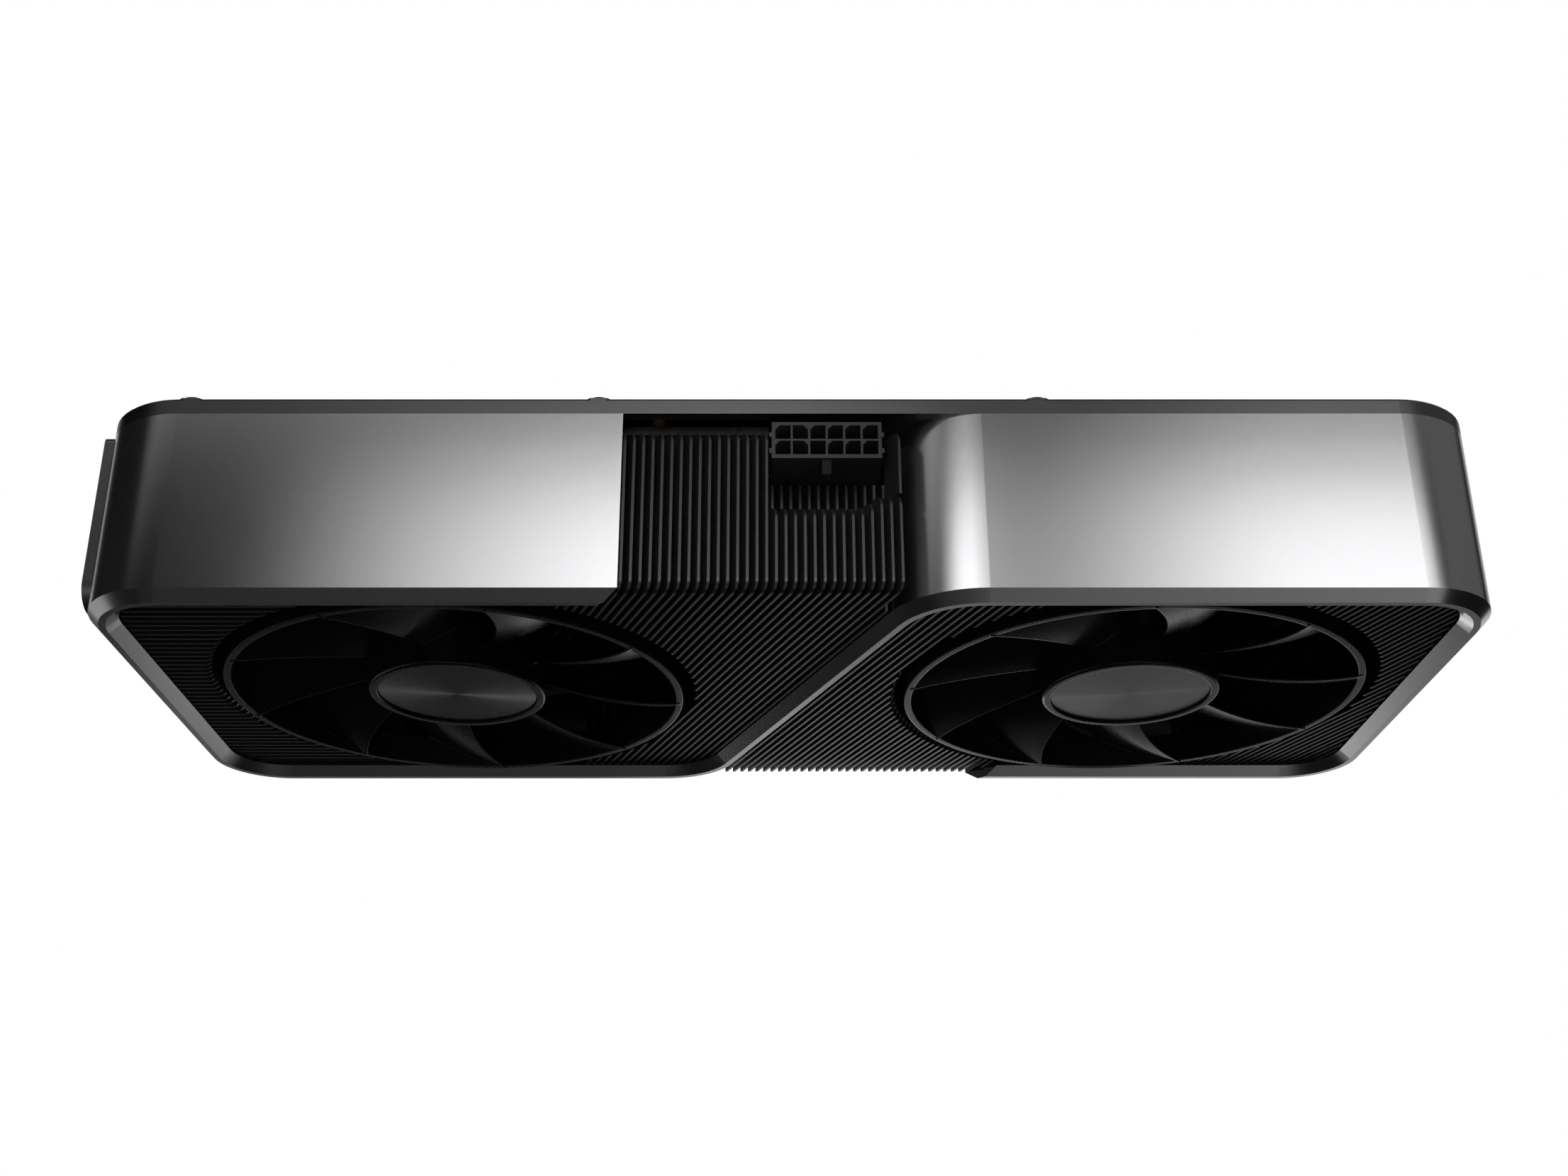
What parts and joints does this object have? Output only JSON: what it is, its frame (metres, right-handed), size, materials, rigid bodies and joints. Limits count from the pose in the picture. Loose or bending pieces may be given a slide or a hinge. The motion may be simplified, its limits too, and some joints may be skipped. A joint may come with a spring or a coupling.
{
  "type": "graphics card",
  "caption": "Two-slot graphics card with a rim-framed finned heatsink, a fan set in each end, a slanted centre rib, a side power socket and a slotted output bracket.",
  "frame": {"origin": "centre of the card's footprint, on the plane of the backplate screw heads it lies on", "axes": "+X towards the output bracket, +Y towards the edge connector, +Z out of the fan side"},
  "size_m": [0.242, 0.119, 0.0382],
  "materials": {
    "frame_metal": "fine satin, dark anodised",
    "fin_black": "semi-matte black coating",
    "back_metal": "satin, dark anodised",
    "screw_steel": "bright, machined heads",
    "bracket_steel": "satin dark plating",
    "fan_plastic": "semi-gloss black",
    "cap_metal": "circular brushed",
    "inner_plastic": "matte black",
    "shaft_steel": "ground",
    "bearing_brass": "plain",
    "core_steel": "laminated, coated",
    "coil_copper": "enamelled wire",
    "magnet": "bonded ferrite",
    "board": "black solder mask",
    "gold": "gold plated",
    "package": "dark green laminate",
    "silicon": "polished die",
    "chip": "moulded epoxy",
    "pad": "soft thermal pad",
    "choke": "pressed iron powder",
    "can": "satin can, black base",
    "zinc": "zinc plated",
    "port_shell": "nickel plated",
    "socket_plastic": "black nylon",
    "copper": "bare copper, nickel flashed",
    "cable_sheath": "soft sheath"
  },
  "bodies": {
    "card": {"backplate": "back_metal", "backplate_screws": "screw_steel", "board_standoffs": "bearing_brass", "bracket_end_fins": "fin_black", "bracket_fan_cable": "cable_sheath", "bracket_fan_coils": "coil_copper", "bracket_fan_mount": "inner_plastic", "bracket_fan_sleeve": "bearing_brass", "bracket_fan_stator": "core_steel", "bracket_screws": "screw_steel", "bracket_under_fan_fins": "fin_black", "cable_headers": "inner_plastic", "capacitors": "can", "chip_package": "package", "circuit_board": "board", "cold_plate": "copper", "edge_contacts": "gold", "edge_fins": "fin_black", "frame_band": "frame_metal", "graphics_die": "silicon", "heat_pipes": "copper", "memory_chips": "chip", "memory_pads": "pad", "middle_fins": "fin_black", "output_bracket": "bracket_steel", "port_tongues": "inner_plastic", "power_chokes": "choke", "power_socket": "socket_plastic", "power_stages": "chip", "retention_spring": "zinc", "socket_latch": "socket_plastic", "socket_pins": "gold", "spring_screws": "zinc", "standoff_screws": "zinc", "tail_fan_cable": "cable_sheath", "tail_fan_coils": "coil_copper", "tail_fan_mount": "inner_plastic", "tail_fan_sleeve": "bearing_brass", "tail_fan_stator": "core_steel", "tail_fins": "fin_black", "tail_under_fan_fins": "fin_black", "video_port_1": "port_shell", "video_port_2": "port_shell", "video_port_3": "port_shell", "video_port_4": "port_shell"},
    "bracket_fan": {"bracket_fan_hub_cap": "cap_metal", "bracket_fan_magnet": "magnet", "bracket_fan_rotor": "fan_plastic", "bracket_fan_shaft": "shaft_steel"},
    "tail_fan": {"tail_fan_hub_cap": "cap_metal", "tail_fan_magnet": "magnet", "tail_fan_rotor": "fan_plastic", "tail_fan_shaft": "shaft_steel"}
  },
  "joints": [
    {"name": "bracket_fan_spin", "type": "hinge", "parent": "card", "child": "bracket_fan", "pos_m": [0.0617, -0.01123, 0.03], "axis": [0, 0, 1], "continuous": true},
    {"name": "tail_fan_spin", "type": "hinge", "parent": "card", "child": "tail_fan", "pos_m": [-0.066, -0.01123, 0.03], "axis": [0, 0, 1], "continuous": true}
  ]
}
